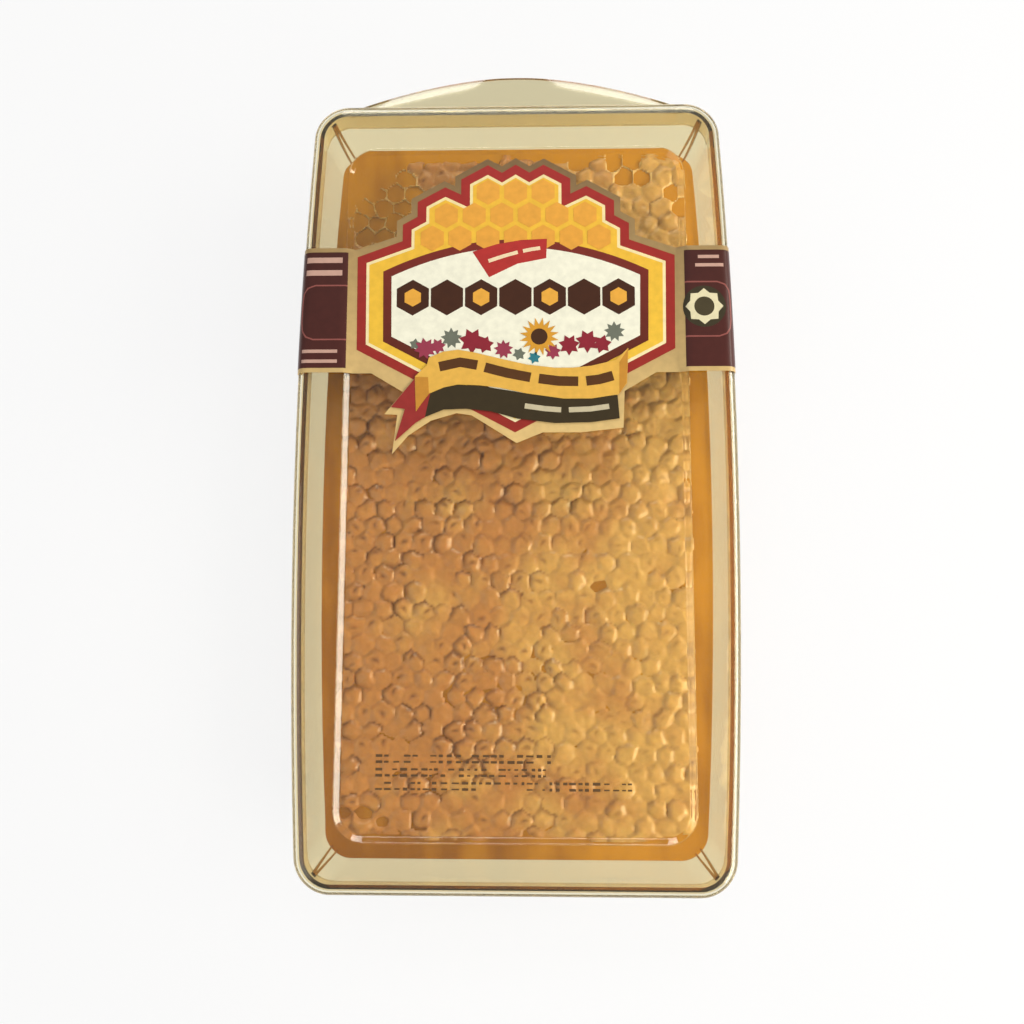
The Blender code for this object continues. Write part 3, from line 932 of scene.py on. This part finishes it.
def print_layer(outlines, lift, thickness):
    """One layer of the label: flat shapes laid on the label's surface, each a closed thin solid."""
    shape = bmesh.new()
    for place, outline in enumerate(outlines):
        lift += OVERLAP_STEP * min(place, 1)
        on_wing = max(abs(x) for x, _ in outline) > 43
        dense = fine_outline(outline, 0.8 if on_wing else 4.0)
        points = [Vector(point) for point in dense]
        creases = []
        if on_wing:
            low_y, high_y = min(y for _, y in dense) - 1, max(y for _, y in dense) + 1
            rows = [float(y) for y in np.arange(low_y, high_y + 2, 2)]
            for stop in [row[0] for row in WING_STATIONS[1:-1]]:
                for side in (-1, 1):
                    if min(x for x, _ in dense) < side * stop < max(x for x, _ in dense):
                        first = len(points)
                        points += [Vector((side * stop, y)) for y in rows]
                        creases += [(first + step, first + step + 1) for step in range(len(rows) - 1)]
        count = len(dense)
        edges = [(index, (index + 1) % count) for index in range(count)] + creases
        flat, _, faces, _, _, owners = delaunay_2d_cdt(points, edges, [list(range(count))], 0, 1e-4)
        faces = [face for face, owner in zip(faces, owners) if owner]
        top = [shape.verts.new(on_label(point.x, point.y, lift + thickness)) for point in flat]
        foot = [shape.verts.new(on_label(point.x, point.y, lift)) for point in flat]
        rim = {}
        for face in faces:
            shape.faces.new([top[index] for index in face])
            shape.faces.new([foot[index] for index in reversed(face)])
            for start, end in zip(face, face[1:] + face[:1]):
                rim[(start, end)] = rim.get((start, end), 0) + 1
        for start, end in rim:
            if (end, start) not in rim:
                shape.faces.new((top[end], top[start], foot[start], foot[end]))
    loose = [vert for vert in shape.verts if not vert.link_faces]
    bmesh.ops.delete(shape, geom=loose, context="VERTS")
    bmesh.ops.recalc_face_normals(shape, faces=shape.faces)
    mesh = bpy.data.meshes.new("layer")
    shape.to_mesh(mesh)
    shape.free()
    layer = bpy.data.objects.new("layer", mesh)
    bpy.context.scene.collection.objects.link(layer)
    return layer


def arch(half_width, foot, rise, steps=12):
    """The upper edge of the middle field, from its middle to its right corner."""
    return [
        (half_width * step / steps, foot + rise * (1 - (step / steps) ** 2)) for step in range(steps + 1)
    ]


def comb_motif():
    """Hexagons of the comb motif in three rows under the crown."""
    outlines = []
    for y, across in ((78.6, (-7.4, 0, 7.4)), (72.1, (-18.6, -11.1, -3.7, 3.7, 11.1, 18.6)),
                      (65.7, (-22.3, -14.9, -7.4, 0, 7.4, 14.9, 22.3))):
        outlines += [disc(x, y, 3.55, 6) for x in across]
    return outlines


YELLOW_RIBBON = (
    (-26.4, 27.6), (-23.3, 30.6), (-22.8, 32.7), (-19.0, 34.3), (-15.1, 34.8), (-11.1, 34.1), (-4.3, 32.4),
    (3.0, 30.7), (10.3, 29.8), (15.2, 29.8), (20.0, 30.3), (26.3, 31.8), (29.7, 35.1), (29.2, 25.6),
    (27.0, 22.6),
    (20.0, 21.5), (12.7, 21.5), (3.1, 22.9), (-4.2, 24.5), (-9.1, 25.1), (-14.9, 25.4), (-18.8, 24.6),
    (-22.7, 22.9), (-24.6, 20.2), (-26.0, 18.2),
)
DARK_RIBBON = (
    (-22.2, 23.4), (-16.4, 25.4), (-9.1, 25.0), (3.1, 22.9), (15.1, 21.6), (26.7, 22.4), (27.2, 16.2),
    (19.9, 15.2),
    (10.3, 15.0), (0.7, 16.2), (-6.6, 18.2), (-12.9, 18.9), (-18.7, 18.7), (-23.6, 16.7),
)
RED_TAIL = ((-26.4, 27.1), (-32.6, 19.4), (-28.9, 18.9), (-31.4, 10.3), (-26.0, 15.2), (-20.5, 18.6),
    (-22.5, 24.0))
TAG = ((-11.5, 61.8), (-7.0, 54.7), (0.5, 58.4), (8.2, 59.9), (8.4, 65.3), (1.5, 65.0), (-5.0, 63.9))


def anticlockwise(outline):
    """The outline in anticlockwise order."""
    area = sum(
        start[0] * end[1] - end[0] * start[1] for start, end in zip(outline, list(outline[1:]) + [outline[0]])
    )
    return list(outline) if area > 0 else list(outline)[::-1]


def wing_fields():
    """The maroon fields of both wings."""
    field = [(44.9, WING_NEAR + 1.2), (WING_END - 0.3, WING_NEAR + 1.2), (WING_END - 0.3, WING_FAR - 1.2),
        (44.9, WING_FAR - 1.2)]
    return [field, [(-x, y) for x, y in reversed(field)]]


def wing_frames():
    """The thin round-cornered line on each wing."""
    right = [(44.9, 52.7), (53.5, 52.7), (55.4, 52.0), (56.6, 50.4), (56.8, 48.0), (56.8, 42.5),
        (56.4, 40.2), (55.3, 38.6),
             (53.5, 37.9), (44.9, 37.9)]
    left = [(-x, y - 0.4) for x, y in right]
    return [anticlockwise(stripe(right, 0.4)), anticlockwise(stripe(left, 0.4))]


def flower(x, y, reach, petals=8):
    """A simple flower seen from the front."""
    return star(x, y, reach, reach * 0.62, petals, 12)


class HONEYBOX_OT_label(bpy.types.Operator):
    """Build the die-cut label: one sheet with its fields of colour, its ribbons and its two wings"""

    bl_idname = "honeybox.label"
    bl_label = "Label"

    def execute(self, context):
        settings = context.scene.honeybox_label
        gold = [(WING_END, WING_NEAR), (WING_END, WING_FAR)] + list(reversed(GOLD_CROWN))
        gold += [(-x, y) for x, y in GOLD_CROWN if x > 0] + [(-WING_END, WING_FAR), (-WING_END, WING_NEAR)]
        gold += list(GOLD_FOOT)
        sheet = print_layer([gold], 0.0, settings.paper)
        smooth(sheet, 30)
        # Painted reflection and shade: the gold runs from light at the near end to dark brown at the far end, in
        # place of the shine of metallic ink.
        material = ink_material("gold_ink_with_painted_shade", shade("#E0BE7C"), shade("#806440"), 0.32)
        settle(sheet, "label_sheet", material, "printed_paper", "label")

        red = anticlockwise(mirrored(RED_CROWN))
        field = anticlockwise(mirrored(arch(35.3, 56.5, 8.7) + [(35.0, 37.2), (0, 18.6)]))
        brown = settings.brown
        cream = settings.cream
        row = [disc(-27.3 + 9.1 * step, 49.2, 4.95, 6) for step in range(7)]
        row_hearts = [disc(-27.3 + 9.1 * step, 49.2, 2.5, 6) for step in range(0, 7, 2)]
        ribbon_bars = [
            stripe([(-20.0, 30.2), (-14.5, 31.4), (-10.0, 30.6)], 2.6),
            stripe([(-8.0, 30.0), (-2.0, 28.4), (4.0, 27.2)], 2.6),
            stripe([(6.2, 26.9), (11.5, 26.2), (16.5, 26.1)], 2.6),
            stripe([(18.6, 26.2), (22.0, 26.6), (25.6, 27.6)], 2.6),
        ]
        dark_bars = [stripe([(2.5, 19.6), (8.0, 18.8), (12.0, 18.5)], 1.4),
            stripe([(14.0, 18.5), (19.5, 18.7), (24.5, 19.4)], 1.4)]
        tag_bars = [stripe([(-7.2, 59.2), (-3.0, 60.6), (0.6, 61.6)], 1.0),
            stripe([(2.0, 61.9), (4.4, 62.4), (6.6, 62.7)], 1.0)]
        wing_bars = [
            stripe([(48.6, 59.6), (54.4, 59.6)], 0.9), stripe([(47.8, 57.3), (55.4, 57.3)], 0.9),
            stripe([(-56.2, 59.3), (-46.4, 59.3)], 1.5), stripe([(-56.2, 55.8), (-46.4, 55.8)], 1.5),
            stripe([(-56.2, 34.3), (-47.2, 34.3)], 0.9), stripe([(-56.2, 31.6), (-47.2, 31.6)], 0.9),
        ]
        layers = (
            ("print_red", 0, [red], settings.red, shade("#A52822")),
            ("print_cream_line", 1, [inset(red, 2.4)], shade("#F6E6B4"), shade("#F4DFA0")),
            ("print_yellow", 2, [inset(red, 3.2)], settings.yellow, shade("#EEB936")),
            ("print_motif", 3, comb_motif(), shade("#E39B34"), shade("#E9A63C")),
            ("print_dark_outline", 4, [field], brown, shade("#8E2A20")),
            ("print_field", 5, [inset(field, 2.2)], cream, cream),
            ("print_tag", 6, [anticlockwise(TAG)], shade("#B52D28"), shade("#B52D28")),
            ("print_cell_row", 6, row, brown, brown),
            ("print_cell_hearts", 7, row_hearts, shade("#E9A93C"), shade("#E9A93C")),
            ("print_tag_bars", 7, [anticlockwise(bar) for bar in tag_bars], shade("#F0D9B0"),
                shade("#F0D9B0")),
            ("print_wings", 0, wing_fields(), settings.maroon, shade("#46201A")),
            ("print_wing_frames", 1, wing_frames(), shade("#94524A"), shade("#94524A")),
            ("print_wing_bars", 1, [anticlockwise(bar) for bar in wing_bars], shade("#C9A08E"),
                shade("#C9A08E")),
            ("print_seal", 1, [disc(49.9, 46.0, 5.6, 36)], shade("#3E3622"), shade("#3E3622")),
            ("print_seal_star", 2, [star(49.9, 46.0, 4.9, 3.9, 8)], shade("#E4D9B0"), shade("#E4D9B0")),
            ("print_seal_heart", 3, [disc(49.9, 46.0, 2.6, 24)], shade("#4A4028"), shade("#4A4028")),
            ("print_leaves", 6, [
                flower(-16.9, 38.0, 2.9, 9), flower(26.1, 39.6, 2.8, 9), flower(-26.5, 36.4, 1.6, 5),
                flower(1.0, 33.6, 1.8, 6),
            ], shade("#6E7263"), shade("#6E7263")),
            ("print_roses", 7, [
                flower(-11.4, 37.2, 3.6, 7), flower(-8.0, 36.2, 2.4, 6), flower(14.2, 36.0, 2.9, 7),
                flower(19.0, 37.0, 3.2, 7),
                flower(22.8, 36.2, 2.6, 6),
            ], shade("#8E2230"), shade("#8E2230")),
            ("print_carnations", 8, [
                flower(-3.1, 34.9, 2.6, 9), flower(-23.8, 35.2, 3.0, 8), flower(-20.5, 35.8, 2.2, 7),
                flower(9.9, 34.2, 2.2, 7),
            ], shade("#A63A4C"), shade("#7C3450")),
            ("print_teal_bud", 9, [flower(5.0, 32.6, 1.7, 6)], shade("#2E7C88"), shade("#2E7C88")),
            ("print_sunflower", 9, [flower(6.3, 38.3, 5.2, 16)], shade("#D99A2B"), shade("#D99A2B")),
            ("print_sunflower_heart", 10, [disc(6.3, 38.3, 2.2)], shade("#4A2A12"), shade("#4A2A12")),
            ("print_red_tail", 11, [anticlockwise(RED_TAIL)], shade("#9C2E29"), shade("#9C2E29")),
            ("print_dark_ribbon", 12, [anticlockwise(DARK_RIBBON)], shade("#3C3019"), shade("#3C3019")),
            ("print_dark_ribbon_bars", 13, [anticlockwise(bar) for bar in dark_bars], shade("#C9BC9A"),
                shade("#C9BC9A")),
            ("print_yellow_ribbon", 14, [anticlockwise(YELLOW_RIBBON)], shade("#E6B24A"), shade("#E6B24A")),
            ("print_ribbon_folds", 15, [
                [(-26.0, 18.3), (-22.6, 22.9), (-22.9, 27.4), (-26.3, 27.5)],
                [(27.2, 22.8), (29.1, 25.7), (29.6, 34.8), (27.3, 31.2)],
            ], shade("#C98B2E"), shade("#C98B2E")),
            ("print_yellow_ribbon_bars", 15, [anticlockwise(bar) for bar in ribbon_bars], shade("#5A3512"),
                shade("#5A3512")),
        )
        for name, level, outlines, near, far in layers:
            layer = print_layer(outlines, settings.paper + settings.ink * level, settings.ink * 1.2)
            smooth(layer, 30)
            settle(layer, name, ink_material(name.replace("print", "ink"), near, far), "printed_paper")
        return {"FINISHED"}


class HONEYBOX_OT_ink_code(bpy.types.Operator):
    """Build the rows of plain printed dashes on the lid's panel"""

    bl_idname = "honeybox.ink_code"
    bl_label = "Printed Dashes"

    def execute(self, context):
        dice = np.random.default_rng(5)
        dashes = []
        for y, end in ((-70.6, 8.5), (-73.9, 8.5), (-77.2, 28.5)):
            x = -34.8
            while x < end:
                width, rise = dice.uniform(0.7, 1.9), dice.uniform(0.35, 0.75)
                for level in (y - 0.75, y + 0.75):
                    if dice.uniform() < 0.8:
                        dashes.append([(x, level - rise / 2), (x + width, level - rise / 2),
                                       (x + width, level + rise / 2), (x, level + rise / 2)])
                x += width + dice.uniform(0.4, 1.2)
        code = print_layer(dashes, 0.0, 0.02 * MM)
        settle(code, "ink_dashes", ink_material("dark_code_ink", shade("#5E4224"), shade("#5E4224"), 0.5),
            "printed_paper")
        return {"FINISHED"}


class HONEYBOX_OT_stage(bpy.types.Operator):
    """Build the floor, the lamps and the camera"""

    bl_idname = "honeybox.stage"
    bl_label = "Stage"

    def execute(self, context):
        settings = context.scene.honeybox_stage
        deselect_all()
        bpy.ops.mesh.primitive_plane_add(size=4)
        floor = bpy.context.object
        floor.name = "floor"
        floor.data.materials.append(floor_material())
        aim = (0, 0, 0.02)
        for name, place, length, width, power, tint in (
            ("key", (0.62, -0.14, 0.36), 0.9, 0.24, settings.key, shade("#FFFBF0")),
            ("back", (0.0, 0.72, 0.56), 0.5, 0.16, settings.back, shade("#FFFFFF")),
            ("fill", (-0.6, -0.2, 0.6), 0.6, 0.6, settings.fill, shade("#FFFFFF")),
        ):
            bpy.ops.object.light_add(type="AREA", location=place)
            lamp = bpy.context.object
            lamp.name = name
            lamp.data.shape = "RECTANGLE"
            lamp.data.size = length
            lamp.data.size_y = width
            lamp.data.energy = power
            lamp.data.color = tint
            lamp.rotation_euler = (Vector(aim) - Vector(place)).to_track_quat("-Z", "Y").to_euler()
        world = bpy.data.worlds.new("studio")
        world.use_nodes = True
        background = world.node_tree.nodes["Background"]
        background.inputs["Color"].default_value = (1, 1, 1, 1)
        path = add_node(world.node_tree, "ShaderNodeLightPath")
        seen = path.outputs["Is Camera Ray"]
        seen = combine(world.node_tree, "MAXIMUM", seen, path.outputs["Is Transmission Ray"])
        strength = add_node(world.node_tree, "ShaderNodeMapRange",
            {"Value": seen, "To Min": settings.sky, "To Max": 0.95})
        mirrored_less = combine(world.node_tree, "MULTIPLY", path.outputs["Is Glossy Ray"],
            settings.sky * 0.6)
        level = combine(world.node_tree, "SUBTRACT", strength.outputs["Result"], mirrored_less)
        world.node_tree.links.new(level, background.inputs["Strength"])
        context.scene.world = world
        camera_data = bpy.data.cameras.new("camera")
        camera = bpy.data.objects.new("camera", camera_data)
        context.scene.collection.objects.link(camera)
        camera.location = (5.66 * MM, -41.2 * MM, (251.3 + 37.0) * MM)
        camera.rotation_euler = tuple(math.radians(angle) for angle in (7.47, 1.45, 0.14))
        camera_data.lens = settings.lens
        camera_data.sensor_width = 36
        camera_data.clip_start = 0.01
        context.scene.camera = camera
        context.scene.view_settings.view_transform = "Standard"
        return {"FINISHED"}


def floor_material():
    """Seamless white paper, matt. It looks near white, and keeps the box's shadow."""
    material, tree = new_material("white_backdrop_paper")
    paper = add_node(tree, "ShaderNodeBsdfDiffuse", {"Color": (0.8, 0.8, 0.8, 1)})
    white = add_node(tree, "ShaderNodeEmission", {"Color": (1, 1, 1, 1), "Strength": 1.0})
    path = add_node(tree, "ShaderNodeLightPath")
    seen = combine(tree, "MAXIMUM", path.outputs["Is Camera Ray"], path.outputs["Is Glossy Ray"])
    seen = combine(tree, "MAXIMUM", seen, path.outputs["Is Transmission Ray"])
    amount = combine(tree, "MULTIPLY", seen, 0.8)
    mix = add_node(tree, "ShaderNodeMixShader", {0: amount, 1: paper.outputs[0], 2: white.outputs[0]})
    finish_material(tree, mix.outputs[0])
    return material


class HONEYBOX_PT_panel(bpy.types.Panel):
    """The sidebar's list of pieces and settings"""

    bl_idname = "HONEYBOX_PT_panel"
    bl_label = "Honeycomb Box"
    bl_space_type = "VIEW_3D"
    bl_region_type = "UI"
    bl_category = "Honeycomb"

    def draw(self, context):
        for group, operators in PANEL_ROWS:
            settings = getattr(context.scene, group)
            box = self.layout.box()
            for name in settings.bl_rna.properties.keys():
                if name not in ("rna_type", "name"):
                    box.prop(settings, name)
            for operator in operators:
                box.operator(operator)


PANEL_ROWS = (
    ("honeybox_plastic", ("honeybox.tray", "honeybox.lid")),
    ("honeybox_comb", ("honeybox.comb",)),
    ("honeybox_honey", ("honeybox.honey",)),
    ("honeybox_label", ("honeybox.label", "honeybox.ink_code")),
    ("honeybox_stage", ("honeybox.stage",)),
)
GROUPS = {
    "honeybox_plastic": PlasticSettings,
    "honeybox_comb": CombSettings,
    "honeybox_honey": HoneySettings,
    "honeybox_label": LabelSettings,
    "honeybox_stage": StageSettings,
}
CLASSES = (
    *GROUPS.values(), HONEYBOX_OT_tray, HONEYBOX_OT_lid, HONEYBOX_OT_comb, HONEYBOX_OT_honey,
    HONEYBOX_OT_label,
    HONEYBOX_OT_ink_code,
    HONEYBOX_OT_stage, HONEYBOX_PT_panel,
)


def register():
    """Adds the classes and their settings."""
    for kind in CLASSES:
        bpy.utils.register_class(kind)
    for name, kind in GROUPS.items():
        setattr(bpy.types.Scene, name, bpy.props.PointerProperty(type=kind))


def unregister():
    """Takes the settings and classes away again."""
    for name in GROUPS:
        delattr(bpy.types.Scene, name)
    for kind in reversed(CLASSES):
        bpy.utils.unregister_class(kind)


def main():
    """Builds the box of honeycomb on its stage."""
    register()
    bpy.ops.honeybox.stage()
    bpy.ops.honeybox.tray()
    bpy.ops.honeybox.lid()
    bpy.ops.honeybox.comb()
    bpy.ops.honeybox.honey()
    bpy.ops.honeybox.label()
    bpy.ops.honeybox.ink_code()


if __name__ == "__main__":
    main()
